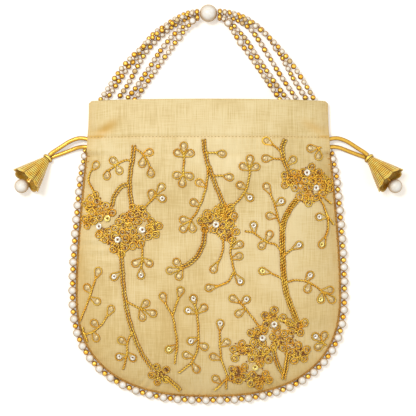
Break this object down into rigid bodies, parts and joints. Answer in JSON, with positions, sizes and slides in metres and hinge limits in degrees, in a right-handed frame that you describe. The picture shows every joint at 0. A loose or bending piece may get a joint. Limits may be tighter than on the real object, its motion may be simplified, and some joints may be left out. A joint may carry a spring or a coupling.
{
  "type": "potli bag",
  "caption": "Flat-lying drawstring potli bag of embroidered silk with a bead edge, a pearl handle and bell tassels on satin cords.",
  "frame": {"origin": "middle of the bag's length and width, on the surface that its back panel lies on; the free drawstring legs and their bells are left out of the measure", "axes": "+Y from the bottom of the bag towards the mouth and the handle, +Z out of the embroidered front, +X to the right of the front"},
  "size_m": [0.2718, 0.2807, 0.0218],
  "materials": {
    "silk": "satin",
    "lining_satin": "satin",
    "satin_cord": "glossy",
    "antique_gold": "antiqued",
    "pearl": "glossy",
    "pearl_and_gold_beads": "glossy",
    "thread": "matte",
    "zari": "metallic thread"
  },
  "bodies": {
    "root": {"outer_front": "silk", "outer_back": "silk", "lining": "lining_satin", "drawstring_left": "satin_cord", "drawstring_right": "satin_cord", "cord_left_upper": "satin_cord", "cord_left_lower": "satin_cord", "cord_right_upper": "satin_cord", "cord_right_lower": "satin_cord", "tassel_bell_left": "antique_gold", "tassel_bell_right": "antique_gold", "tassel_collar_left": "antique_gold", "tassel_collar_right": "antique_gold", "tassel_pin_left": "antique_gold", "tassel_pin_right": "antique_gold", "tassel_pearl_left": "pearl", "tassel_pearl_right": "pearl", "edge_beading": "pearl_and_gold_beads", "handle_pearl": "pearl", "handle_thread": "thread", "handle_strand_left_1": "pearl_and_gold_beads", "handle_strand_left_2": "pearl_and_gold_beads", "handle_strand_left_3": "pearl_and_gold_beads", "handle_strand_left_4": "pearl_and_gold_beads", "handle_strand_left_5": "pearl_and_gold_beads", "handle_strand_right_1": "pearl_and_gold_beads", "handle_strand_right_2": "pearl_and_gold_beads", "handle_strand_right_3": "pearl_and_gold_beads", "handle_strand_right_4": "pearl_and_gold_beads", "handle_strand_right_5": "pearl_and_gold_beads", "embroidery_left_vine": "zari", "embroidery_left_edge_sprig": "zari", "embroidery_left_lower_sprig": "zari", "embroidery_left_bud": "zari", "embroidery_centre_vine": "zari", "embroidery_lower_left_sprig": "zari", "embroidery_lower_middle_sprig": "zari", "embroidery_bottom_sprig": "zari", "embroidery_right_vine": "zari", "embroidery_right_upper_sprig": "zari", "embroidery_right_lower_sprig": "zari"}
  },
  "joints": []
}
